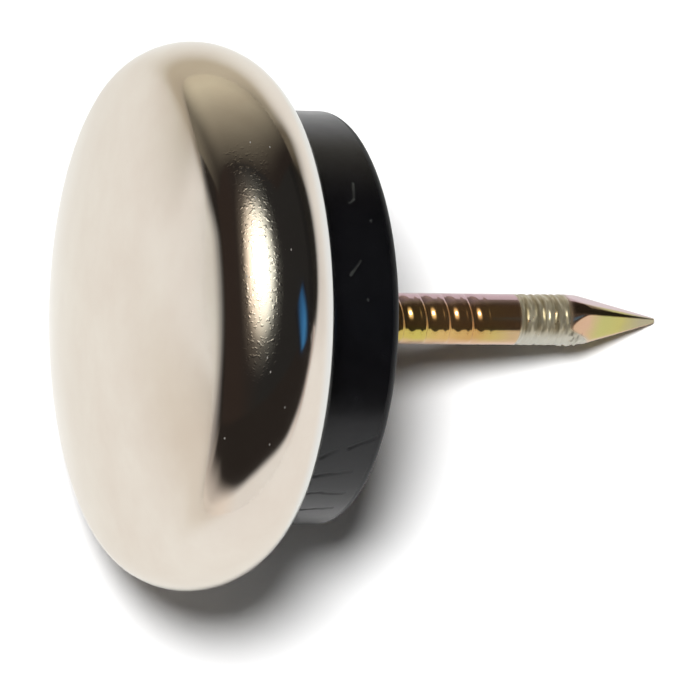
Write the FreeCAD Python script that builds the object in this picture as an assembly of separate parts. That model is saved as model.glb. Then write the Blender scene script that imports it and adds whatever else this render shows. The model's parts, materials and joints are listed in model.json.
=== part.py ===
import FreeCAD, Part
import math
import os

# A nail-on furniture glide. A drawn steel cap with a domed face is curled over a rubber cushion,
# and the cushion holds the head of a nail that is driven into a furniture leg. Lengths are in
# millimetres and angles in degrees. Each piece is modelled on its own axis, from the middle of
# the domed face (height 0) towards the nail's point, and the glide is then laid down as it comes
# to rest, on the rim of its cap and the point of its nail.

# Cap
cap_diameter = 28.575
crown_radius = 38.0
shoulder_radius = 2.0
side_radius = 4.0
side_angle = 35.0
sheet_thickness = 0.8

# Cushion
overall_height = 12.7
neck_diameter = 21.6
seat_edge_radius = 0.45
cushion_clearance = 0.05
cushion_give = 0.7

# Nail
shank_diameter = 2.7
nail_reach = 19.05
head_diameter = 9.0
head_thickness = 1.2
bore_clearance = 0.03
pocket_clearance = 0.3
tip_diameter = 0.34
tip_width = 0.3
point_angle = 15.1
facet_angle = 11.9
point_turn = 37.0

# Grip marks rolled into the shank next to the seat
grip_count = 6
grip_pitch = 1.31
grip_start = 1.88
grip_radius = 1.3
grip_depth = 0.1
grip_lean = -6.0

# Heights and radii that follow from the sizes
cap_radius = cap_diameter / 2
neck_radius = neck_diameter / 2
shank_radius = shank_diameter / 2
head_radius = head_diameter / 2
tip_radius = tip_diameter / 2
tip_half = tip_width / 2
side = math.radians(side_angle)

side_centre_radius = cap_radius - side_radius
shoulder_centre_radius = side_centre_radius + (side_radius - shoulder_radius) * math.cos(side)
crown_to_shoulder = crown_radius - shoulder_radius
shoulder_height = crown_radius - math.sqrt(crown_to_shoulder**2 - shoulder_centre_radius**2)
side_height = shoulder_height + (side_radius - shoulder_radius) * math.sin(side)
curl_centre_radius = neck_radius + cushion_clearance
curl_radius = side_radius - (curl_centre_radius - side_centre_radius) / math.cos(side)
curl_height = side_height + (side_radius - curl_radius) * math.sin(side)

head_bottom = sheet_thickness + cushion_give
head_top = head_bottom + head_thickness
seat_height = overall_height
tip_height = seat_height + nail_reach
point_length = (shank_radius - tip_radius) / math.tan(math.radians(point_angle))

AXIS = FreeCAD.Vector(0, 0, 1)
ORIGIN = FreeCAD.Vector(0, 0, 0)


def spot(radius, height):
    """A point of a turned section."""
    return FreeCAD.Vector(radius, 0, height)


def arc(centre, radius, first, last):
    """An arc of a turned section between two directions, each in radians above the radial one."""
    points = []
    for turn in (first, (first + last) / 2, last):
        points.append(spot(centre[0] + radius * math.cos(turn), centre[1] + radius * math.sin(turn)))
    return Part.Arc(*points).toShape()


def run(*points):
    """Straight edges through points of a turned section."""
    return [Part.makeLine(a, b) for a, b in zip(points, points[1:])]


def turned(edges):
    """The solid that a closed section sweeps about the axis."""
    wire = Part.Wire(Part.__sortEdges__(edges))
    return Part.Face(wire).revolve(ORIGIN, AXIS, 360)


def shell_outline(inset, inner_radius):
    """Crown, shoulder, side and curl of the cap, offset inwards, from a radius on the crown."""
    crown_start = -math.acos(inner_radius / (crown_radius - inset))
    crown_end = -math.acos(shoulder_centre_radius / crown_to_shoulder)
    return [
        arc((0, crown_radius), crown_radius - inset, crown_start, crown_end),
        arc((shoulder_centre_radius, shoulder_height), shoulder_radius - inset, crown_end, -side),
        arc((side_centre_radius, side_height), side_radius - inset, -side, side),
        arc((curl_centre_radius, curl_height), curl_radius - inset, side, math.pi / 2),
    ]


def make_cap():
    """The steel shell between the outer outline and the same outline one sheet further in."""
    outer = shell_outline(0, 0)
    inner = shell_outline(sheet_thickness, 0)
    crown = run(spot(0, 0), spot(0, sheet_thickness))
    edge = run(
        spot(curl_centre_radius, curl_height + curl_radius),
        spot(curl_centre_radius, curl_height + curl_radius - sheet_thickness),
    )
    return turned(outer + inner + crown + edge)


def make_cushion():
    """The rubber: a flange that fills the cap, a neck, a bore for the shank, a pocket for the head."""
    inset = sheet_thickness + cushion_clearance
    pocket_radius = head_radius + pocket_clearance
    bore_radius = shank_radius + bore_clearance
    flange = shell_outline(inset, pocket_radius)
    flange_top = curl_height + curl_radius - inset
    pocket_mouth = crown_radius - math.sqrt((crown_radius - inset) ** 2 - pocket_radius**2)
    edge_height = seat_height - seat_edge_radius
    edge_centre = neck_radius - seat_edge_radius
    neck = run(
        spot(curl_centre_radius, flange_top),
        spot(neck_radius, flange_top),
        spot(neck_radius, edge_height),
    )
    seat_edge = arc((edge_centre, edge_height), seat_edge_radius, 0, math.pi / 2)
    inside = run(
        spot(edge_centre, seat_height),
        spot(bore_radius, seat_height),
        spot(bore_radius, head_top),
        spot(pocket_radius, head_top),
        spot(pocket_radius, pocket_mouth),
    )
    return turned(flange + neck + [seat_edge] + inside)


def grip_mark(height):
    """A round-bottomed groove about the shank, leaning a little to one side."""
    groove = Part.makeTorus(shank_radius - grip_depth + grip_radius, grip_radius)
    groove.rotate(ORIGIN, FreeCAD.Vector(1, 0, 0), grip_lean)
    groove.translate(AXIS * height)
    return groove


def point_facet(quarter):
    """The block outside one of the four flat facets of the point."""
    reach = nail_reach
    block = Part.makeBox(reach, 2 * reach, 2 * reach, FreeCAD.Vector(0, -reach, -reach))
    block.rotate(ORIGIN, FreeCAD.Vector(0, 1, 0), -facet_angle)
    block.translate(FreeCAD.Vector(tip_half, 0, tip_height))
    block.rotate(ORIGIN, AXIS, point_turn + 90 * quarter)
    return block


def make_nail():
    """Head, shank and round point turned in one, with the grip marks and the facets cut from it."""
    outline = run(
        spot(0, head_bottom),
        spot(head_radius, head_bottom),
        spot(head_radius, head_top),
        spot(shank_radius, head_top),
        spot(shank_radius, tip_height - point_length),
        spot(tip_radius, tip_height),
        spot(0, tip_height),
        spot(0, head_bottom),
    )
    nail = turned(outline)
    for mark in range(grip_count):
        nail = nail.cut(grip_mark(seat_height + grip_start + grip_pitch * mark))
    for quarter in range(4):
        nail = nail.cut(point_facet(quarter))
    return nail


def dip(near, far):
    """The dip of a line under two round edges, each given as a radius, a height and a rounding."""
    drop = near[0] - far[0]
    length = far[1] - near[1]
    return math.atan2(drop, length) + math.asin((near[2] - far[2]) / math.hypot(drop, length))


def resting_lean():
    """How far the axis dips: the cap's side or curl rests first, then the point or the seat's edge."""
    point = (tip_radius, tip_height, 0)
    seat_edge = (neck_radius - seat_edge_radius, seat_height - seat_edge_radius, seat_edge_radius)
    cap_side = (side_centre_radius, side_height, side_radius)
    cap_curl = (curl_centre_radius, curl_height, curl_radius)
    lean = min(dip(cap_side, point), dip(cap_side, seat_edge))
    if lean > side:
        lean = min(dip(cap_curl, point), dip(cap_curl, seat_edge))
    return math.degrees(lean)


def lay_down(pieces):
    """Lay the glide on its rim and point, with the origin under the middle of its box."""
    for piece in pieces.values():
        piece.rotate(ORIGIN, FreeCAD.Vector(0, 1, 0), 90 + resting_lean())
    box = Part.Compound(list(pieces.values())).optimalBoundingBox()
    for piece in pieces.values():
        piece.translate(FreeCAD.Vector(-box.Center.x, -box.Center.y, -box.ZMin))


glide = {"cap": make_cap(), "cushion": make_cushion(), "nail": make_nail()}
lay_down(glide)
os.makedirs("parts", exist_ok=True)
for name, shape in glide.items():
    shape.exportStep("parts/" + name + ".step")
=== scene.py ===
import json
import math

import bpy
import numpy as np
from mathutils import Matrix, Vector


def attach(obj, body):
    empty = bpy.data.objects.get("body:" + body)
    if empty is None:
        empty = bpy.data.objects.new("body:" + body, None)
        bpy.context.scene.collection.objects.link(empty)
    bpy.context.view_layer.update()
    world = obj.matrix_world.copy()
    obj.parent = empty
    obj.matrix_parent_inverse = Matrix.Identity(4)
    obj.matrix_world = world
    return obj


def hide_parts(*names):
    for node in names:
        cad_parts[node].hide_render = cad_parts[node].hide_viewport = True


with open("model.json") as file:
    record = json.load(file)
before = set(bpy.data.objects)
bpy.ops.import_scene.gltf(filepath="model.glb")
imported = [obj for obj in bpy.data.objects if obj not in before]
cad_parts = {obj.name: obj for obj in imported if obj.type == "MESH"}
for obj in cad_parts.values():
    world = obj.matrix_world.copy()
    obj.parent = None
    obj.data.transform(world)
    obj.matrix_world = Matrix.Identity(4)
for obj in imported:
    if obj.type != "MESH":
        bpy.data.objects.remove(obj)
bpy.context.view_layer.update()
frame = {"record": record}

# A nail-on furniture glide lying on a pale floor: a drawn nickel-plated cap, a black rubber cushion
# and a yellow zinc-plated nail. Lengths are in millimetres. The glide's own sizes run along and
# around the nail's axis, from the middle of the domed face (height 0) towards the point. A pair of
# places is where a smooth step starts and where it is full.
MILLIMETRE = 0.001

# Cap
cap_radius = 28.575 / 2
crown_radius = 38.0
shoulder_radius = 2.0
side_radius = 4.0
side_angle = math.radians(35.0)
sheet_thickness = 0.8
sheet_edge_radius = 0.2
curve_ease = 1.0
crown_middle_radius = 0.1

# Cushion
seat_height = 12.7
neck_radius = 10.8
seat_edge_radius = 0.45
cushion_clearance = 0.05
cushion_give = 0.7

# Nail
shank_radius = 1.35
nail_reach = 19.05
head_radius = 4.5
head_thickness = 1.2
head_edge_radius = 0.15
head_corner = 0.1
head_middle_radius = 0.5
head_half_way = 2.5
bore_clearance = 0.03
pocket_clearance = 0.3
tip_radius = 0.17
tip_half = 0.13
point_slope = math.tan(math.radians(15.1))
facet_slope = math.tan(math.radians(12.95))
point_turn = math.radians(37.0)
point_edge_softness = 0.02
least_facing = 0.05
hair_inside = 1 - 1e-9

# Grip marks in the nail: places from the seat, and one mark's steps as shares of the pitch
grip_count = 6
grip_pitch = 1.31
grip_start = 1.49
grip_depth = 0.13
grip_lean = math.tan(math.radians(7.5))
grip_side = math.radians(108.0)
grip_facing = (0.15, 0.75)
grip_fall = (-0.03, 0.06)
grip_first_rise = (0.2, 0.5)
grip_first_share = 0.8
grip_last_rise = (0.73, 0.84)
grip_last_share = 0.2

# The scored stretch before the point, and the burrs at its end, as distances from the seat
score_start = 10.83
score_end = 13.77
score_run_in = 0.12
score_run_out = 0.2
score_pitch = 0.43
score_depth = 0.04
score_middle = 0.5
score_most = 1.4
low_side_run = 1.2
low_side_facing = (0.3, 0.9)
burr_height = 0.09
burr_start = (13.3, 13.7)
burr_end = (14.6, 14.2)
burr_crumbs = (0.15, 0.75)
burr_facing = (0.5, 0.7)

# Waverings of the scores and burrs: a seed, the step along the nail, the count of steps around it
slow_sway = (3, 0.5, 7)
quick_sway = (4, 0.2, 19)
ring_breaks = (5, 0.35, 11)
small_nicks = (6, 0.11, 23)
metal_crumbs = (7, 0.13, 37)
slow_sway_reach = 0.12
quick_sway_reach = 0.05
whole_ring_share = 0.55
broken_ring_share = 0.45
nick_share = 0.5

# Fineness: points on the cap's arcs, times an outline's fineness, and points around each piece
crown_points = 6
shoulder_points = 3
side_points = 5
curl_points = 2
outer_fineness = 14
inner_fineness = 5
sheet_edge_points = 6
head_edge_points = 5
ease_samples = 17
cap_columns = 256
cushion_columns = 240
nail_columns = 144

# Rings of the shank in stretches: where each stretch ends, from the seat, and its count of rings
shank_stretches = [(0.2, 8), (9.2, 230), (10.6, 8), (15.0, 200), (nail_reach, 90)]

# Radii and heights that follow from the sizes
side_centre_radius = cap_radius - side_radius
shoulder_centre_radius = side_centre_radius + (side_radius - shoulder_radius) * math.cos(side_angle)
crown_to_shoulder = crown_radius - shoulder_radius
shoulder_height = crown_radius - math.sqrt(crown_to_shoulder**2 - shoulder_centre_radius**2)
side_height = shoulder_height + (side_radius - shoulder_radius) * math.sin(side_angle)
curl_centre_radius = neck_radius + cushion_clearance
curl_radius = side_radius - (curl_centre_radius - side_centre_radius) / math.cos(side_angle)
curl_height = side_height + (side_radius - curl_radius) * math.sin(side_angle)
head_bottom = sheet_thickness + cushion_give
head_top = head_bottom + head_thickness
tip_height = seat_height + nail_reach

# The glide's own directions in the frame: along the nail, to its side, and up from its axis
mounts = {mount["name"]: mount for mount in frame["record"]["mounts"]}
CROWN = np.array(mounts["glide_face"]["pos_m"])
ALONG = np.array(mounts["nail_shank"]["axis"])
ALONG /= np.linalg.norm(ALONG)
SIDE = np.array((0.0, 1.0, 0.0))
LIFT = np.cross(ALONG, SIDE)


# Shapes

def arc(centre, radius, first, last, count):
    """A round stretch of an outline: radius and height at even steps of angle about a centre."""
    turn = np.linspace(first, last, count)
    return np.stack([centre[0] + radius * np.cos(turn), centre[1] + radius * np.sin(turn)], axis=1)


def straight(start, end, count):
    """A straight stretch of an outline, with its points evenly spaced."""
    return np.linspace(start, end, count)


def shell_outline(inset, inner_radius, edge_gap, fineness):
    """The cap's outline moved inwards: crown, shoulder, side and curl arcs, tangent to each other.

    It starts at a radius on the crown, and ends on the curl at a gap outside the curl's centre.
    """
    crown_start = -math.acos(inner_radius / (crown_radius - inset))
    crown_end = -math.acos(shoulder_centre_radius / crown_to_shoulder)
    curl_end = math.acos(edge_gap / (curl_radius - inset))
    crown = (0, crown_radius)
    shoulder = (shoulder_centre_radius, shoulder_height)
    side = (side_centre_radius, side_height)
    curl = (curl_centre_radius, curl_height)
    return np.concatenate([
        arc(crown, crown_radius - inset, crown_start, crown_end, crown_points * fineness),
        arc(shoulder, shoulder_radius - inset, crown_end, -side_angle,
            shoulder_points * fineness)[1:],
        arc(side, side_radius - inset, -side_angle, side_angle, side_points * fineness)[1:],
        arc(curl, curl_radius - inset, side_angle, curl_end, curl_points * fineness)[1:],
    ])


def eased(outline, reach):
    """An outline whose changes of curvature are eased: each point becomes the weighted middle of
    the outline within a reach to both sides, which shrinks to nothing at the two ends."""
    steps = np.linalg.norm(np.diff(outline, axis=0), axis=1)
    passed = np.concatenate([[0], np.cumsum(steps)])
    offsets = np.linspace(-1, 1, ease_samples)
    weights = 1 + np.cos(math.pi * offsets)
    room = np.minimum(reach, np.minimum(passed, passed[-1] - passed))
    spots = passed[:, None] + room[:, None] * offsets
    middles = [(np.interp(spots, passed, part) * weights).sum(axis=1) for part in outline.T]
    return np.stack(middles, axis=1) / weights.sum()


def even_turns(columns):
    """Even steps once round the axis."""
    return np.linspace(0, 2 * math.pi, columns, endpoint=False)


def turned(outline, turn):
    """Rings of an outline: each point's radius and height, carried round the axis to each turn."""
    radius = outline[:, :1] * np.ones(len(turn))
    return placed(radius, np.ones((len(outline), 1)) * turn, outline[:, 1:])


def placed(radius, turn, height):
    """Points in the frame: the crown, plus height along the axis, plus radius out at a turn from
    the side."""
    out = np.cos(turn)[..., None] * SIDE + np.sin(turn)[..., None] * LIFT
    heights = np.broadcast_to(height, radius.shape)
    return CROWN + MILLIMETRE * (heights[..., None] * ALONG + radius[..., None] * out)


def ring_quads(rows, columns, joined):
    """Four-sided faces between neighbouring rings, and from the last to the first if joined."""
    column = np.arange(columns)
    following = np.roll(column, -1)
    near = np.arange(rows if joined else rows - 1)[:, None] * columns
    far = (near + columns) % (rows * columns)
    corners = [near + column, near + following, far + following, far + column]
    return np.stack(corners, axis=-1).reshape(-1, 4)


def piece(name, node, rings, finish, joined=False):
    """A smooth closed skin over rings of points, which stands for a node of the frame.

    The rings close on themselves, or else the first and the last each close on a middle point.
    """
    rows, columns = rings.shape[:2]
    points = rings.reshape(-1, 3)
    faces = ring_quads(rows, columns, joined).tolist()
    if not joined:
        column = np.arange(columns)
        following = np.roll(column, -1)
        last = (rows - 1) * columns
        points = np.concatenate([points, rings[:1].mean(axis=1), rings[-1:].mean(axis=1)])
        middle = np.full(columns, rows * columns)
        faces += np.stack([middle, following, column], axis=1).tolist()
        faces += np.stack([middle + 1, last + column, last + following], axis=1).tolist()
    mesh = bpy.data.meshes.new(name)
    mesh.from_pydata(points.tolist(), [], faces)
    mesh.polygons.foreach_set("use_smooth", np.ones(len(mesh.polygons), bool))
    mesh.materials.append(finish)
    made = bpy.data.objects.new(name, mesh)
    bpy.context.scene.collection.objects.link(made)
    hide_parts(node)
    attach(made, "root")


def make_cap(finish):
    """The drawn shell: its outer outline, the sheet's rounded edge, and back along its inside."""
    outer = shell_outline(0, crown_middle_radius, sheet_edge_radius, outer_fineness)
    inner = shell_outline(sheet_thickness, crown_middle_radius, sheet_edge_radius, inner_fineness)
    top = curl_height + curl_radius
    middle = curl_centre_radius + sheet_edge_radius
    upper = (middle, top - sheet_edge_radius)
    lower = (middle, top - sheet_thickness + sheet_edge_radius)
    outline = np.concatenate([
        eased(outer, curve_ease),
        arc(upper, sheet_edge_radius, math.pi / 2, math.pi, sheet_edge_points),
        arc(lower, sheet_edge_radius, math.pi, 1.5 * math.pi, sheet_edge_points),
        inner[::-1],
    ])
    rings = turned(outline, even_turns(cap_columns))
    piece("glide_cap", "cap", rings, finish)


def make_cushion(finish):
    """The rubber: a flange to fill the cap, the neck, the seat, the bore and the head's pocket."""
    inset = sheet_thickness + cushion_clearance
    pocket_radius = head_radius + pocket_clearance
    bore_radius = shank_radius + bore_clearance
    flange = shell_outline(inset, pocket_radius, 0, inner_fineness)
    flange_top = curl_height + curl_radius - inset
    edge_height = seat_height - seat_edge_radius
    edge_centre = neck_radius - seat_edge_radius
    outline = np.concatenate([
        flange,
        straight((neck_radius, flange_top), (neck_radius, edge_height), count=40),
        arc((edge_centre, edge_height), seat_edge_radius, 0, math.pi / 2, count=12)[1:],
        straight((edge_centre, seat_height), (bore_radius, seat_height), count=30)[1:],
        straight((bore_radius, seat_height), (bore_radius, head_top), count=10)[1:],
        straight((bore_radius, head_top), (pocket_radius, head_top), count=5)[1:],
        straight((pocket_radius, head_top), flange[0], count=4)[1:-1],
    ])
    rings = turned(outline, even_turns(cushion_columns))
    piece("rubber_cushion", "cushion", rings, finish, joined=True)


def smooth_step(values, low, high):
    """0 up to low and 1 from high, eased between them."""
    share = np.clip((values - low) / (high - low), 0, 1)
    return share * share * (3 - 2 * share)


def soft_least(values, softness):
    """The least of several radii, blended over a softness, so that the edge between two is rounded:
    the least, less softness times the logarithm of the sum of each one's falling exponential."""
    lowest = np.min(values, axis=0)
    return lowest - softness * np.log(np.sum(np.exp((lowest - values) / softness), axis=0))


def wander(height, turn, seed, height_step, turns):
    """A smooth wavering from -1 to 1: seeded values on a coarse net, eased between neighbours."""
    reach = (height - height.min()) / height_step
    around = (turn / (2 * math.pi) % 1) * turns
    net = np.random.default_rng(seed).uniform(-1, 1, (int(reach.max()) + 2, turns))
    row = np.floor(reach).astype(int)
    column = np.floor(around).astype(int) % turns
    down = smooth_step(reach - row, 0, 1)
    across = smooth_step(around - np.floor(around), 0, 1)
    beside = (column + 1) % turns
    near = net[row, column] * (1 - across) + net[row, beside] * across
    far = net[row + 1, column] * (1 - across) + net[row + 1, beside] * across
    return near * (1 - down) + far * down


def grip_marks(height, turn):
    """Depth of the marks that gripping jaws press into two opposite sides of the shank.

    Along the shank each mark falls steeply, rises gently and ends in a second small rise. Its place
    leans with the place across the shank, and its depth fades away between the two sides.
    """
    across = shank_radius * np.sin(grip_side - turn)
    from_first = (height - seat_height - grip_start + grip_lean * across) / grip_pitch
    depth = np.zeros(height.shape)
    for mark in range(grip_count):
        reach = from_first - mark
        fall = smooth_step(reach, *grip_fall)
        depth += fall - grip_first_share * smooth_step(reach, *grip_first_rise)
        depth -= grip_last_share * smooth_step(reach, *grip_last_rise)
    return grip_depth * depth * smooth_step(abs(np.cos(turn - grip_side)), *grip_facing)


def low_side(turn):
    """How much further the scored stretch runs on the low side of the shank."""
    return low_side_run * smooth_step(np.sin(turn - grip_side), *low_side_facing)


def burrs(height, turn):
    """Height of the crumbs of metal that cutting the facets left at the scored stretch's end."""
    from_seat = height - seat_height
    ends = smooth_step(from_seat, *burr_start) * smooth_step(from_seat, *burr_end)
    crumbs = smooth_step(wander(height, turn, *metal_crumbs), *burr_crumbs)
    return burr_height * ends * crumbs * smooth_step(np.sin(turn - grip_side), *burr_facing)


def scores(height, turn):
    """Depth of the scored stretch: uneven wavering rings that start and stop around the shank."""
    from_seat = height - seat_height
    sway = slow_sway_reach * wander(height, turn, *slow_sway)
    sway = sway + quick_sway_reach * wander(height, turn, *quick_sway)
    ring = np.cos(2 * math.pi * (from_seat + sway) / score_pitch)
    broken = whole_ring_share + broken_ring_share * wander(height, turn, *ring_breaks)
    nicks = nick_share * wander(height, turn, *small_nicks)
    start = np.clip((from_seat - score_start) / score_run_in, 0, 1)
    end = np.clip((score_end + low_side(turn) - from_seat) / score_run_out, 0, 1)
    cut = np.clip(score_middle + ring * broken + nicks, 0, score_most)
    return score_depth * (start * end) * cut


def shank_radii(height, turn):
    """The marked and scored shank, cut by the round point and four facets, with soft edges."""
    from_tip = tip_height - height
    marked = shank_radius - grip_marks(height, turn) - scores(height, turn)
    radii = [marked, tip_radius + point_slope * from_tip]
    reach = tip_half + facet_slope * from_tip
    for quarter in range(4):
        facet_turn = -math.pi / 2 + point_turn + quarter * math.pi / 2
        facing = np.maximum(np.cos(turn - facet_turn), least_facing)
        radii.append(reach / facing)
    return soft_least(np.array(radii), point_edge_softness) * hair_inside + burrs(height, turn)


def make_nail(finish):
    """The nail: a flat head turned with its shank, whose radius changes along it and around it."""
    edge = head_radius - head_edge_radius
    lower = (edge, head_bottom + head_edge_radius)
    upper = (edge, head_top - head_edge_radius)
    head = np.concatenate([
        [(head_middle_radius, head_bottom), (head_half_way, head_bottom)],
        arc(lower, head_edge_radius, -math.pi / 2, 0, head_edge_points),
        arc(upper, head_edge_radius, 0, math.pi / 2, head_edge_points),
        [(head_half_way, head_top), (shank_radius + head_corner, head_top)],
    ])
    start = head_top + head_corner
    stretches = []
    for reach, rings in shank_stretches:
        stretches.append(np.linspace(start, seat_height + reach, rings, endpoint=False))
        start = seat_height + reach
    heights = np.concatenate(stretches + [[tip_height]])
    turn = even_turns(nail_columns) + point_turn - math.pi / 4
    height_grid, turn_grid = np.meshgrid(heights, turn, indexing="ij")
    shank = placed(shank_radii(height_grid, turn_grid), turn_grid, height_grid)
    rings = np.concatenate([turned(head, turn), shank])
    piece("glide_nail", "nail", rings, finish)


# Finishes

class Value:
    """A socket's value on its way through a finish; arithmetic on it adds Math nodes."""

    def __init__(self, finish, socket):
        self.finish = finish
        self.socket = socket

    def math(self, operation, *values):
        """One Math node on values or links, in their order."""
        return self.finish.node("ShaderNodeMath", {"operation": operation}, dict(enumerate(values)))

    def __add__(self, other):
        return self.math("ADD", self, other)

    def __radd__(self, other):
        return self.math("ADD", other, self)

    def __sub__(self, other):
        return self.math("SUBTRACT", self, other)

    def __rsub__(self, other):
        return self.math("SUBTRACT", other, self)

    def __mul__(self, other):
        return self.math("MULTIPLY", self, other)

    def __rmul__(self, other):
        return self.math("MULTIPLY", other, self)

    def __truediv__(self, other):
        return self.math("DIVIDE", self, other)

    def __rtruediv__(self, other):
        return self.math("DIVIDE", other, self)

    def __pow__(self, other):
        return self.math("POWER", self, other)

    def __abs__(self):
        return self.math("ABSOLUTE", self)


class Finish:
    """The nodes of one material, or of the world."""

    def __init__(self, owner):
        owner.use_nodes = True
        self.owner = owner
        self.tree = owner.node_tree
        self.tree.nodes.clear()

    def node(self, kind, settings, sockets, output=0):
        """Adds a node: its settings, then its sockets' values or links; gives one output."""
        made = self.tree.nodes.new(kind)
        for name, setting in settings.items():
            if name == "stops":
                self.set_stops(made.color_ramp, setting)
            else:
                setattr(made, name, setting)
        for name, value in sockets.items():
            if isinstance(value, Value):
                self.tree.links.new(value.socket, made.inputs[name])
            else:
                made.inputs[name].default_value = value
        return Value(self, made.outputs[output]) if len(made.outputs) else None

    def set_stops(self, ramp, stops):
        """Gives a colour ramp its stops, each a place and a colour."""
        while len(ramp.elements) < len(stops):
            ramp.elements.new(1)
        for element, (place, colour) in zip(ramp.elements, stops):
            element.position = place
            element.color = (*colour, 1)

    def ramp(self, value, stops):
        """A colour that runs through stops as a value goes from 0 to 1."""
        return self.node("ShaderNodeValToRGB", {"stops": stops}, {0: value})

    def blend(self, share, first, second):
        """The first colour where the share is 0, and the second where it is 1."""
        sockets = {0: share, 6: solid(first), 7: solid(second)}
        return self.node("ShaderNodeMix", {"data_type": "RGBA"}, sockets, 2)

    def rise(self, value, low, high):
        """A smooth step: 0 up to low, 1 from high, or falling where low is the larger."""
        sockets = {"Value": value, "From Min": low, "From Max": high, "To Min": 0.0, "To Max": 1.0}
        return self.node("ShaderNodeMapRange", {"interpolation_type": "SMOOTHSTEP"}, sockets)

    def within(self, value, start, end):
        """1 in a stretch: it rises over the start and falls over the end, each a pair of places."""
        return self.rise(value, *start) * self.rise(value, *end)

    def steps(self, value, amounts):
        """The sum of amounts, each reached in a smooth step between its own pair of places."""
        total = 0.0
        for amount, low, high in amounts:
            total = total + amount * self.rise(value, low, high)
        return total

    def noise(self, place, scale, detail=2.0, roughness=0.5):
        """Cloudy noise about 0.5 on places in millimetres, with scale in cycles a millimetre."""
        sockets = {"Vector": place, "Scale": scale, "Detail": detail, "Roughness": roughness}
        return self.node("ShaderNodeTexNoise", {}, sockets)

    def own_place(self):
        """A point's place on the glide: up from the axis, to the side, and along from the crown."""
        point = self.node("ShaderNodeTexCoord", {}, {}, "Object")
        sockets = {0: point, 1: tuple(CROWN)}
        from_crown = self.node("ShaderNodeVectorMath", {"operation": "SUBTRACT"}, sockets)
        settings = {"operation": "DOT_PRODUCT"}
        values = []
        for way in (LIFT, SIDE, ALONG):
            sockets = {0: from_crown, 1: tuple(way / MILLIMETRE)}
            values.append(self.node("ShaderNodeVectorMath", settings, sockets, 1))
        return values

    def room_place(self, way):
        """A point's place in the room: across it (X), back in it (Y) or above its floor (Z)."""
        point = self.node("ShaderNodeTexCoord", {}, {}, "Object")
        return self.node("ShaderNodeSeparateXYZ", {}, {0: point}, way) / MILLIMETRE

    def vector(self, x, y, z):
        """Three values as one place, or as one colour."""
        return self.node("ShaderNodeCombineXYZ", {}, {0: x, 1: y, 2: z})

    def scaled(self, place, scale):
        """A place with each of its three values multiplied by its own scale."""
        settings = {"operation": "MULTIPLY"}
        return self.node("ShaderNodeVectorMath", settings, {0: place, 1: scale})

    def bump(self, height, distance):
        """A surface normal raised by a height of up to a distance."""
        sockets = {"Strength": 1.0, "Distance": distance * MILLIMETRE, "Height": height}
        return self.node("ShaderNodeBump", {}, sockets)

    def surface(self, sockets):
        """Ends the finish in one Principled surface with the given sockets."""
        shader = self.node("ShaderNodeBsdfPrincipled", {}, sockets)
        self.node("ShaderNodeOutputMaterial", {}, {"Surface": shader})
        return self.owner


def solid(colour):
    """A colour with its fourth part, or a link as it is."""
    return colour if isinstance(colour, Value) else (*colour, 1)


def new_finish(name):
    """The empty nodes of a new material."""
    return Finish(bpy.data.materials.new(name))


# Nickel plate: its tones, and where the dust and the pits are, as heights and turns from the top
nickel_clouds = [(0.3, (0.73, 0.645, 0.56)), (0.7, (0.785, 0.72, 0.635))]
nickel_cloud_scale = 0.22
# Painted reflection: the curl takes a cooler, more neutral tone that stands for the lit floor
# mirrored along the rim
curl_reflection_tone = (0.76, 0.76, 0.74)
curl_reflection_start = (7.2, 7.9)
nickel_tint = (0.9, 0.9, 0.87)
nickel_roughness = 0.07
nickel_clouding = 0.05
dust_tone = (0.22, 0.215, 0.2)
dust_scale = 0.3
dust_closeness = 2
dust_size = (0.022, 0.011)
dust_heights = ((2.2, 2.5), (5.6, 5.3))
dust_turns = ((-0.93, -0.86), (0.66, 0.52))
pit_scale = 5.0
pit_size = (0.52, 0.74)
pit_depth = 0.004
pit_heights = ((2.7, 3.2), (5.2, 4.4))
pit_turn = math.radians(6.0)
pit_half = math.radians(30.0)
pit_full = 0.7


def nickel_plate():
    """Bright nickel on drawn steel: warm white with faint clouds, a cooler tone painted on the curl
    as the reflection of the lit floor, fine pits on one stretch and a little dust."""
    finish = new_finish("nickel_plate")
    up, side, along = finish.own_place()
    place = finish.vector(up, side, along)
    clouds = finish.noise(place, nickel_cloud_scale, detail=5.0, roughness=0.65)
    colour = finish.ramp(clouds, nickel_clouds)
    # Painted reflection on the curl: a cooler tone from where the curl starts
    colour = finish.blend(finish.rise(along, *curl_reflection_start), colour, curl_reflection_tone)
    turn = side.math("ARCTAN2", side, up)
    spread = finish.vector(cap_radius * turn, dust_closeness * along, 0.0)
    sockets = {"Vector": spread, "Scale": dust_scale}
    cells = finish.node("ShaderNodeTexVoronoi", {"voronoi_dimensions": "2D"}, sockets)
    dust = finish.rise(cells, *dust_size) * finish.within(along, *dust_heights)
    dust = dust * finish.within(turn, *dust_turns)
    colour = finish.blend(dust, colour, dust_tone)
    pits = finish.rise(finish.noise(place, pit_scale, detail=1.0), *pit_size)
    pits = pits * finish.within(along, *pit_heights)
    pits = pits * finish.rise(abs(turn + pit_turn), pit_half, pit_full * pit_half)
    return finish.surface({
        "Base Color": colour,
        "Metallic": 1 - dust,
        "Roughness": nickel_roughness + nickel_clouding * clouds,
        "Normal": finish.bump(pits, pit_depth),
        "Specular Tint": solid(nickel_tint),
    })


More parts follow.
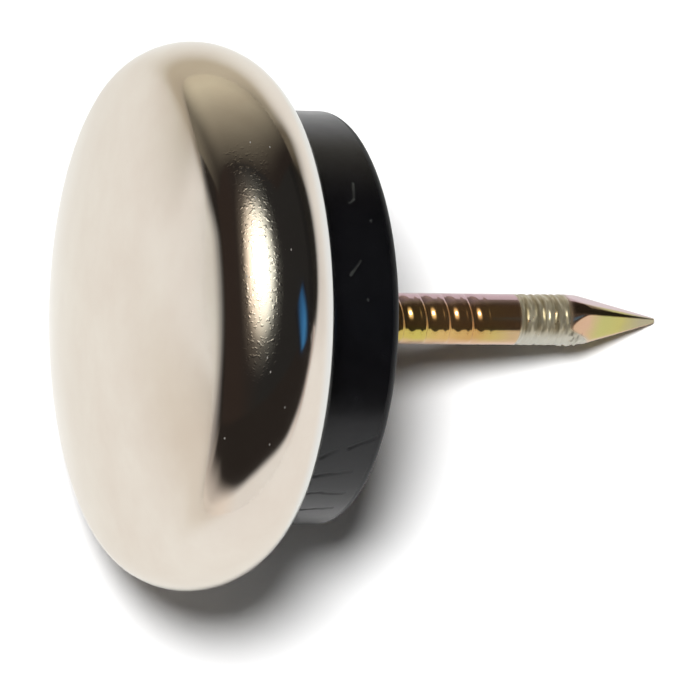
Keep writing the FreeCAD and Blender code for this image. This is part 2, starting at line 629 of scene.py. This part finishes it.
# Rubber: its tones, and the marks on its neck. Each mark runs from one place to another, given as
# degrees round from the top and height from the crown
rubber_tones = [(0.3, (0.002, 0.002, 0.0026)), (0.75, (0.0035, 0.0035, 0.0045))]
rubber_grain_scale = 1.2
rubber_grain_height = 0.006
rubber_roughness = 0.2
rubber_specular = 0.4
grain_roughness = 0.1
cut_roughness = 0.5
seat_edge_roughness = 0.3
seat_edge_start = (seat_height - 0.5, seat_height - 0.35)
scuff_tone = (0.03, 0.031, 0.029)
scuff_width = 0.12
cut_width = 0.19
cut_depth = 2
mark_core = 0.1
mark_fade = 0.6
mark_raggedness = 0.5
pale_scuffs = [
    ((21.7, 10.99), (15.9, 10.78)),
    ((15.9, 10.78), (14.6, 10.45)),
    ((-6.3, 9.98), (-2.7, 10.59)),
    ((9.3, 11.47), (9.2, 11.47)),
    ((-13.1, 10.86), (-13.0, 10.86)),
]
dark_cuts = [
    ((-59.6, 9.45), (-56.7, 10.18)),
    ((-56.0, 10.81), (-52.3, 12.24)),
    ((-67.0, 9.4), (-65.0, 11.35)),
    ((-75.1, 9.5), (-74.6, 11.55)),
    ((-84.9, 9.6), (-83.5, 11.49)),
]


def marks(finish, around, along, ends, width):
    """1 at the start of short straight marks, fading along them, and 0 away from them.

    The places are around and along the neck.
    """
    share = 0.0
    for (start_turn, start), (end_turn, end) in ends:
        first = math.radians(start_turn) * neck_radius
        reach = (math.radians(end_turn) * neck_radius - first, end - start)
        squared = reach[0] ** 2 + reach[1] ** 2
        passed = ((around - first) * reach[0] + (along - start) * reach[1]) / squared
        passed = passed.math("MAXIMUM", passed.math("MINIMUM", passed, 1.0), 0.0)
        beside = around - first - passed * reach[0]
        beyond = along - start - passed * reach[1]
        away = (beside ** 2 + beyond ** 2) ** 0.5
        share = share + finish.rise(away, width, mark_core * width) * (1 - mark_fade * passed)
    return share


def black_rubber():
    """Moulded black rubber with a soft gloss, a faint grain, small pale scuffs and a few cuts."""
    finish = new_finish("black_rubber")
    up, side, along = finish.own_place()
    around = neck_radius * side.math("ARCTAN2", side, up)
    place = finish.vector(up, side, along)
    grain = finish.noise(place, rubber_grain_scale, detail=4.0, roughness=0.6)
    ragged = around + (grain - 0.5) * mark_raggedness
    scuffed = marks(finish, ragged, along, pale_scuffs, scuff_width)
    cut = marks(finish, ragged, along, dark_cuts, cut_width)
    colour = finish.ramp(grain, rubber_tones)
    edge = finish.rise(along, *seat_edge_start)
    roughness = rubber_roughness + grain_roughness * grain
    roughness = roughness + cut_roughness * cut + seat_edge_roughness * edge
    return finish.surface({
        "Base Color": finish.blend(scuffed, colour, scuff_tone),
        "Roughness": roughness,
        "Normal": finish.bump(grain - cut_depth * cut, rubber_grain_height),
        "Specular IOR Level": rubber_specular,
    })


# Yellow zinc: its rainbow cast along the nail, from the seat (0) to the tip (1)
zinc_casts = [
    (0.2, (0.56, 0.42, 0.11)), (0.26, (0.55, 0.46, 0.105)), (0.33, (0.62, 0.41, 0.145)),
    (0.43, (0.55, 0.325, 0.11)), (0.48, (0.54, 0.41, 0.135)), (0.54, (0.53, 0.375, 0.2)),
    (0.765, (0.66, 0.43, 0.285)), (0.82, (0.52, 0.49, 0.18)), (0.88, (0.53, 0.47, 0.16)),
    (0.95, (0.43, 0.38, 0.25)),
]
zinc_drift = 1.5
zinc_drift_scale = (0.7, 0.7, 0.5)
zinc_roughness = 0.1
zinc_metallic = 0.94

# Casts around the nail, from its low side (-1) through its gripped sides (0) to its high side (1).
# These are painted: a ruddy tone on the gripped sides for the dark room they mirror, and violet and
# rosy sheen on the high and low sides
ruddy_reflection_tone = (0.55, 0.27, 0.12)
ruddy_share = 0.7
ruddy_sides = ((-0.5, -0.2), (0.75, 0.5))
ruddy_end = (14.0, 13.5)
violet_sheen_tone = (0.5, 0.345, 0.365)
violet_side = (0.45, 0.8)
rosy_sheen_tone = (0.66, 0.43, 0.29)
rosy_side = (-0.75, -1.0)

# Painted dark reflection on the point: a dark band on its upper side that stands for the dark room
# mirrored there. Its sides, the second of which closes in along it, and its stretch
dark_reflection_tone = (0.13, 0.08, 0.045)
dark_reflection_share = 0.85
dark_facet_low = (0.2, 0.3)
dark_facet_high = (0.66, 0.56)
dark_facet_closing = 0.09
dark_facet_middle = 15
dark_facet_stretch = ((13.7, 14.1), (18.4, 17.0))

# Scraped metal on the scored stretch
scrape_height = 0.003
scrape_scale = 3.0
scratch_scale = (0.4, 0.4, 2.4)
scraped_tones = [(0.36, (0.26, 0.21, 0.12)), (0.6, (0.46, 0.41, 0.29))]
# The low side's paler tone is a painted reflection of the white floor below it
scraped_low_reflection_tone = (0.54, 0.52, 0.44)
scraped_low_side = (-0.35, -0.8)
scraped_start = (score_start - 0.1, score_start + 0.1)
scraped_end = (0.2, -0.2)
scraped_patches = (0.2, 0.4)
scraped_change = 0.24


def yellow_zinc():
    """Yellow zinc plate with a rainbow cast, scraped to grey metal on the scored stretch. Its tones
    around the nail and on the point are painted reflections and sheen.
    """
    finish = new_finish("yellow_zinc")
    up, side, along = finish.own_place()
    from_seat = along - seat_height
    high_turn = grip_side - math.pi / 2
    from_axis = (up * up + side * side) ** 0.5
    lifted = (up * math.sin(high_turn) + side * math.cos(high_turn)) / from_axis
    place = finish.vector(up, side, along)
    drift = finish.noise(finish.scaled(place, zinc_drift_scale), 1.0)
    plate = finish.ramp((from_seat + (drift - 0.5) * zinc_drift) / nail_reach, zinc_casts)
    # Painted reflection: a ruddy tone on the gripped sides colours the dark room mirrored there
    ruddy = finish.within(lifted, *ruddy_sides) * finish.rise(from_seat, *ruddy_end)
    plate = finish.blend(ruddy_share * ruddy, plate, ruddy_reflection_tone)
    # Painted sheen: violet on the high side and rosy on the low side, for the plate's colour where
    # the nail is seen edge-on
    plate = finish.blend(finish.rise(lifted, *violet_side), plate, violet_sheen_tone)
    plate = finish.blend(finish.rise(lifted, *rosy_side), plate, rosy_sheen_tone)
    # Painted dark reflection on the point
    closing = lifted + dark_facet_closing * (from_seat - dark_facet_middle)
    dark_reflection = finish.rise(lifted, *dark_facet_low) * finish.rise(closing, *dark_facet_high)
    dark_reflection = dark_reflection * finish.within(from_seat, *dark_facet_stretch)
    plate = finish.blend(dark_reflection_share * dark_reflection, plate, dark_reflection_tone)
    low_end = score_end + low_side_run * finish.rise(lifted, *(-place for place in low_side_facing))
    scored = finish.rise(from_seat, *scraped_start) * finish.rise(from_seat - low_end, *scraped_end)
    scrape = finish.noise(place, scrape_scale, detail=4.0, roughness=0.65)
    bare = scored * finish.rise(scrape, *scraped_patches)
    scratches = finish.scaled(place, scratch_scale)
    scratches = finish.noise(scratches, 1.4, detail=3.0, roughness=0.6)
    metal = finish.ramp(scratches, scraped_tones)
    # Painted reflection: the scraped metal is paler on its low side
    metal = finish.blend(finish.rise(lifted, *scraped_low_side), metal, scraped_low_reflection_tone)
    return finish.surface({
        "Base Color": finish.blend(bare, plate, metal),
        "Metallic": zinc_metallic - scraped_change * bare,
        "Roughness": zinc_roughness + scraped_change * bare,
        "Normal": finish.bump(scrape, scrape_height),
    })


# Stage, light and camera. Places in the room are across (x), back (y) and up from the floor

LEVEL = np.array([(-1, -1, 0), (1, -1, 0), (1, 1, 0), (-1, 1, 0)])
FACING = np.array([(-1, 0, 0), (1, 0, 0), (1, 0, 1), (-1, 0, 1)])
SIDEWAYS = FACING[:, [1, 0, 2]]
dark_room = (0.026, 0.022, 0.02)

# Floor, and its plain tone in mirrors: painted falloff of light makes it fade outwards, and painted
# shade makes it dimmer and warmer beside the domed face and dimmer under the nail
floor_half = 3000.0
floor_white = (0.96, 0.96, 0.96)
mirrored_floor = 0.8
floor_fade = 2600.0
beside_face_back = (30.0, -5.0)
face_painted_shade = 0.12
face_dim_across = (-80.0, -250.0)
face_warm_across = (-30.0, -80.0)
face_warm_losses = (0.13, 0.17, 0.22)
nail_painted_shade = 0.15
nail_dim_across = (20.0, 70.0)
nail_dim_back = (-40.0, 10.0)

# The floor's beige in mirrors: a round patch behind the cap, and the stretch to its left
beige_middle = (-40.0, 215.0)
beige_edge = (192.0, 148.0)
beige_left = (-40.0, -80.0)
beige_left_slope = 0.4
beige_left_front = (8.0, 38.0)
beige_tone = (0.48, 0.44, 0.36)
beige_right_tone = (0.28, 0.26, 0.21)
beige_right = (0.0, 60.0)
beige_left_tone = (0.25, 0.225, 0.19)
beige_far_left = (-20.0, -220.0)

# The floor's dark in mirrors, outwards beyond the nail
dark_start = (55.0, 128.0)
dark_nearer = 28.0
dark_nearer_turn = (-30.0, 10.0)
dark_front_slope = 0.24
dark_front = (-50.0, 40.0)
dark_back_slope = 1.5
dark_back = (-20.0, 20.0)
dark_tone = (0.016, 0.015, 0.014)
dark_back_tone = (0.12, 0.105, 0.08)
dark_tone_turn = (-50.0, 10.0)


def plain_floor(finish, x, y):
    """The floor's plain tone in mirrors, with painted falloff of light outwards, and painted shade
    beside the domed face and under the nail.
    """
    # Painted falloff of light: the floor fades outwards
    fading = mirrored_floor / (1 + (x * x + y * y) ** 0.5 / floor_fade)
    # Painted shade beside the domed face, dimmer and warmer
    beside_face = finish.rise(y, *beside_face_back)
    fading = fading * (1 - face_painted_shade * beside_face * finish.rise(x, *face_dim_across))
    # Painted shade on the floor under the nail
    shade_under_nail = finish.rise(x, *nail_dim_across) * finish.rise(y, *nail_dim_back)
    fading = fading * (1 - nail_painted_shade * shade_under_nail)
    warm_shade = beside_face * finish.rise(x, *face_warm_across)
    return finish.vector(*[fading * (1 - loss * warm_shade) for loss in face_warm_losses])


def beige_floor(finish, x, y):
    """The share of beige in mirrors, and its tone, which is dimmer to both sides."""
    away = ((x - beige_middle[0]) ** 2 + (y - beige_middle[1]) ** 2) ** 0.5
    patch = finish.rise(away, *beige_edge)
    front = finish.rise(y + beige_left_slope * x, *beige_left_front)
    share = patch.math("MAXIMUM", patch, front * finish.rise(x, *beige_left))
    tone = finish.blend(finish.rise(x, *beige_right), beige_tone, beige_right_tone)
    return share, finish.blend(finish.rise(x, *beige_far_left), tone, beige_left_tone)


def dark_floor(finish, x, y):
    """The share of dark in mirrors, and its tone, which is lighter to the back."""
    out = (x + y) / math.sqrt(2) + dark_nearer * finish.rise(y - x, *dark_nearer_turn)
    front = finish.rise(y + dark_front_slope * x, *dark_front)
    share = finish.rise(out, *dark_start) * front
    share = share * finish.rise(dark_back_slope * x - y, *dark_back)
    return share, finish.blend(finish.rise(y - x, *dark_tone_turn), dark_tone, dark_back_tone)


def pale_floor():
    """A white floor that keeps shadows. Mirrors see it turn beige behind the cap and dark beyond
    the nail."""
    finish = new_finish("pale_floor")
    x, y = finish.room_place("X"), finish.room_place("Y")
    mirrored = finish.node("ShaderNodeLightPath", {}, {}, "Is Glossy Ray")
    beige, beige_colour = beige_floor(finish, x, y)
    dark, dark_colour = dark_floor(finish, x, y)
    tone = finish.blend(beige, plain_floor(finish, x, y), beige_colour)
    tone = finish.blend(dark, tone, dark_colour)
    colour = finish.blend(mirrored, floor_white, tone)
    paper = finish.node("ShaderNodeBsdfDiffuse", {}, {"Color": colour})
    finish.node("ShaderNodeOutputMaterial", {}, {"Surface": paper})
    return finish.owner


def glow(finish, colour, level=1.0):
    """Ends a finish in light of a colour that changes from place to place."""
    light = finish.node("ShaderNodeEmission", {}, {"Color": colour, "Strength": level})
    finish.node("ShaderNodeOutputMaterial", {}, {"Surface": light})
    return finish.owner


# Ceiling and its lamp. The lamp's layers each give a share of its light, and where it starts and is
# full, as distances from the lamp's middle in its halves
ceiling_height = 200.0
ceiling_half = 1500.0
ceiling_tone = (0.0008, 0.0008, 0.0008)
ceiling_brown = (0.0012, 0.0009, 0.00078)
ceiling_brown_across = (50.0, -150.0)
lamp_middle = (27.0, 10.0)
lamp_half = (60.0, 79.0)
lamp_level = 30.0
lamp_layers = [(0.059, 1.5, 0.5), (0.0044, 2.3, 0.9), (0.9, 0.5, 0.25)]
lamp_tone = (0.95, 1.0, 0.93)
lamp_warm_tone = (1.0, 0.86, 0.7)
lamp_warm_across = (90.0, -60.0)


def lit_ceiling():
    """A dim ceiling, browner over the cap, with a soft round lamp in it."""
    finish = new_finish("ceiling")
    x, y = finish.room_place("X"), finish.room_place("Y")
    across = (x - lamp_middle[0]) / lamp_half[0]
    back = (y - lamp_middle[1]) / lamp_half[1]
    share = finish.steps((across ** 2 + back ** 2) ** 0.5, lamp_layers)
    dim = finish.blend(finish.rise(x, *ceiling_brown_across), ceiling_tone, ceiling_brown)
    lamp = finish.blend(finish.rise(x, *lamp_warm_across), lamp_tone, lamp_warm_tone)
    return glow(finish, finish.blend(share, dim, lamp), lamp_level)


# Backdrop: how it fades upwards, as shares of its height and of its light, and to both sides
backdrop_middle = (-45.0, 150.0)
backdrop_half = 220.0
backdrop_height = 165.0
backdrop_fade = [(0.14, 1.0), (0.4, 0.57), (0.66, 0.28), (1.0, 0.02)]
backdrop_left = (-185.0, -55.0)
backdrop_left_share = 0.25
backdrop_left_gain = 0.75
backdrop_right = (155.0, -30.0)
backdrop_dark = (0.026, 0.021, 0.019)
backdrop_beige = (0.72, 0.67, 0.53)


def lit_backdrop():
    """A soft beige patch of light that fades upwards and to both sides."""
    finish = new_finish("backdrop")
    x = finish.room_place("X")
    greys = [(place, (level, level, level)) for place, level in backdrop_fade]
    upward = finish.ramp(finish.room_place("Z") / backdrop_height, greys)
    sideways = backdrop_left_share + backdrop_left_gain * finish.rise(x, *backdrop_left)
    sideways = sideways * finish.rise(x, *backdrop_right)
    return glow(finish, finish.blend(sideways * upward, backdrop_dark, backdrop_beige))


# Front bank: the height where its top starts to fade, and how softly it fades. Amounts are followed
# by where across the room each one starts and is full
front_distance = 120.0
front_half = 400.0
front_height = 110.0
front_top = 11.0
front_softness = 13.0
front_left_softness = [(44.0, -30.0, -140.0), (53.0, -220.0, -340.0)]
front_left_dimming = [(0.3, -50.0, -110.0), (0.25, -150.0, -380.0)]
front_foot = 0.15
front_foot_height = (18.0, 8.0)
front_foot_across = (-50.0, -110.0)
cap_rise = 12.0
cap_rise_middle = 8.0
cap_rise_away = (80.0, 5.0)
cap_softness = 7.0
cap_softness_middle = -55.0
cap_softness_away = (40.0, 0.0)
front_right = (60.0, 180.0)
right_softness = 4.0
right_drop = 7.0
right_dimming = 0.35
front_white = (0.95, 0.95, 0.95)
right_white = (0.95, 0.87, 0.84)
left_white = (0.97, 0.9, 0.845)
left_white_across = (-20.0, -60.0)
far_middle = (200.0, -80.0)
far_half = 40.0
far_height = 19.0


def lit_front():
    """A low white bank of light with a soft top, higher in front of the cap."""
    finish = new_finish("front_bank")
    x = finish.room_place("X")
    height = finish.room_place("Z")
    height = height - cap_rise * finish.rise(abs(x - cap_rise_middle), *cap_rise_away)
    right = finish.rise(x, *front_right)
    soft = front_softness + finish.steps(x, front_left_softness) + right_softness * right
    soft = soft + cap_softness * finish.rise(abs(x - cap_softness_middle), *cap_softness_away)
    share = finish.rise((height - front_top + right_drop * right) / soft, 1.0, 0.0)
    share = share * (1 - right_dimming * right) * (1 - finish.steps(x, front_left_dimming))
    foot = finish.rise(height, *front_foot_height) * finish.rise(x, *front_foot_across)
    share = share + front_foot * foot
    white = finish.blend(right, front_white, right_white)
    white = finish.blend(finish.rise(x, *left_white_across), white, left_white)
    return glow(finish, finish.blend(share, dark_room, white))


# Blue streak: its tones by height, and how it fades to both sides of its leaning middle line
streak_corners = [(90.0, -0.8, 51.4), (90.0, -30.2, 78.6), (92.0, -54.7, 52.2), (92.0, -25.3, 25.0)]
streak_foot = 34.0
streak_height = 36.0
streak_tones = [
    (0.0, (0.02, 0.03, 0.05)), (0.3, (0.06, 0.25, 0.56)),
    (0.55, (0.04, 0.17, 0.41)), (1.0, (0.018, 0.025, 0.04)),
]
streak_middle = (-15.5, 65.0)
streak_lean = (0.733, 0.68)
streak_fade = (18.0, 4.0)
streak_dark = (0.018, 0.018, 0.02)


def lit_streak():
    """A blue gleam that fades to both of its ends."""
    finish = new_finish("blue_streak")
    height = finish.room_place("Z")
    colour = finish.ramp((height - streak_foot) / streak_height, streak_tones)
    back = finish.room_place("Y") - streak_middle[0]
    across = abs(streak_lean[0] * back - streak_lean[1] * (height - streak_middle[1]))
    return glow(finish, finish.blend(finish.rise(across, *streak_fade), streak_dark, colour))


# Left bank: its tones by share of its height, in its tall middle and in its dimmer front
left_distance = 400.0
left_half = 500.0
left_height = 150.0
left_tall_tones = [
    (0.0, (0.87, 0.87, 0.85)), (0.12, (0.81, 0.81, 0.79)), (0.2, (0.64, 0.64, 0.62)),
    (0.38, (0.37, 0.37, 0.36)), (0.62, (0.14, 0.14, 0.14)), (0.8, (0.07, 0.065, 0.06)),
    (1.0, dark_room),
]
left_dim_tones = [
    (0.05, (0.6, 0.58, 0.56)), (0.12, (0.45, 0.43, 0.42)), (0.17, (0.42, 0.4, 0.39)),
    (0.46, (0.21, 0.2, 0.2)), (0.6, (0.105, 0.1, 0.1)), (0.8, dark_room),
]
left_tall_back = (-60.0, 40.0)
left_low_back = (125.0, 215.0)
left_low_stretch = 1.5
left_low_shift = 0.5


def lit_left():
    """A haze of light over the horizon behind the domed face: tall in its middle, low behind,
    dimmer in front."""
    finish = new_finish("left_bank")
    y = finish.room_place("Y")
    height = finish.room_place("Z") / left_height
    behind = finish.rise(y, *left_low_back)
    lowered = height * (1 + left_low_stretch * behind) + left_low_shift * behind
    tall = finish.ramp(lowered, left_tall_tones)
    dim = finish.ramp(height, left_dim_tones)
    return glow(finish, finish.blend(finish.rise(y, *left_tall_back), dim, tall))


def card(name, corners, finish):
    """A four-cornered sheet that belongs to the stage."""
    mesh = bpy.data.meshes.new(name)
    mesh.from_pydata((np.array(corners) * MILLIMETRE).tolist(), [], [(0, 1, 2, 3)])
    mesh.materials.append(finish)
    made = bpy.data.objects.new(name, mesh)
    bpy.context.scene.collection.objects.link(made)
    return made


def mirror_card(name, corners, finish):
    """A sheet of the stage that mirrors alone see."""
    made = card(name, corners, finish)
    made.visible_camera = False
    made.visible_diffuse = False
    made.visible_shadow = False
    made.visible_transmission = False
    made.visible_volume_scatter = False


def set_stage():
    """The floor, and cards of light and dark for the metal to mirror."""
    card("floor", LEVEL * floor_half, pale_floor())
    ceiling = LEVEL * ceiling_half + (0, 0, ceiling_height)
    mirror_card("ceiling", ceiling, lit_ceiling())
    backdrop = FACING * (backdrop_half, 0, backdrop_height) + (*backdrop_middle, 0)
    mirror_card("backdrop", backdrop, lit_backdrop())
    bank = lit_front()
    front = FACING * (front_half, 0, front_height) + (0, -front_distance, 0)
    mirror_card("front_bank", front, bank)
    far = SIDEWAYS * (0, far_half, far_height) + (*far_middle, 0)
    mirror_card("far_bank", far, bank)
    left = SIDEWAYS * (0, left_half, left_height) + (-left_distance, 0, 0)
    mirror_card("left_bank", left, lit_left())
    mirror_card("blue_streak", streak_corners, lit_streak())


# Key light, and the room's level for shadows and for mirrors
key_level = 3.9
key_spread = 0.35
key_tilt = math.radians(3.0)
key_lean = math.radians(1.4)
fill_level = 0.06
room_level = 0.018


def set_light():
    """A soft key from above and a low fill. The camera sees a white room, mirrors a dark one."""
    room = Finish(bpy.data.worlds.new("room"))
    seen = room.node("ShaderNodeLightPath", {}, {}, "Is Camera Ray")
    mirrored = room.node("ShaderNodeLightPath", {}, {}, "Is Glossy Ray")
    level = seen + (1 - seen) * (mirrored * room_level + (1 - mirrored) * fill_level)
    sky = room.node("ShaderNodeBackground", {}, {"Color": (1, 1, 1, 1), "Strength": level})
    room.node("ShaderNodeOutputWorld", {}, {"Surface": sky})
    bpy.context.scene.world = room.owner
    key = bpy.data.objects.new("key_light", bpy.data.lights.new("key_light", "SUN"))
    key.data.energy = key_level
    key.data.angle = key_spread
    key.rotation_euler = (-key_lean, key_tilt, 0)
    key.visible_glossy = False
    bpy.context.scene.collection.objects.link(key)


# Camera
view_angle = math.radians(68.8)
view_turn = math.radians(18.0)
view_roll = math.radians(0.5)
view_distance = 400.0
view_centre = (8.443, -1.738)
view_lens = 396.4
view_nearest = 10.0
sensor_width = 36.0


def set_camera():
    """The photograph's viewpoint, given by angles to the nail's axis and about it, and aimed beside
    the middle of the cap's widest circle."""
    toward = math.cos(view_turn) * LIFT - math.sin(view_turn) * SIDE
    upright = math.sin(view_turn) * LIFT + math.cos(view_turn) * SIDE
    sight = math.sin(view_angle) * toward - math.cos(view_angle) * ALONG
    right = math.sin(view_angle) * ALONG + math.cos(view_angle) * toward
    level_right = math.cos(view_roll) * right + math.sin(view_roll) * upright
    level_up = math.cos(view_roll) * upright - math.sin(view_roll) * right
    middle = CROWN + side_height * MILLIMETRE * ALONG
    eye = middle + view_distance * MILLIMETRE * sight
    aim = middle + MILLIMETRE * (view_centre[0] * level_right + view_centre[1] * level_up)
    back = eye - aim
    back /= np.linalg.norm(back)
    across = np.cross(level_up, back)
    across /= np.linalg.norm(across)
    turn = Matrix(np.stack([across, np.cross(back, across), back], axis=1).tolist())
    camera = bpy.data.objects.new("camera", bpy.data.cameras.new("camera"))
    camera.data.lens = view_lens
    camera.data.sensor_width = sensor_width
    camera.data.clip_start = view_nearest * MILLIMETRE
    camera.matrix_world = Matrix.Translation(Vector(eye)) @ turn.to_4x4()
    bpy.context.scene.collection.objects.link(camera)
    bpy.context.scene.camera = camera


make_cap(nickel_plate())
make_cushion(black_rubber())
make_nail(yellow_zinc())
set_stage()
set_light()
set_camera()
bpy.context.scene.view_settings.view_transform = "Standard"
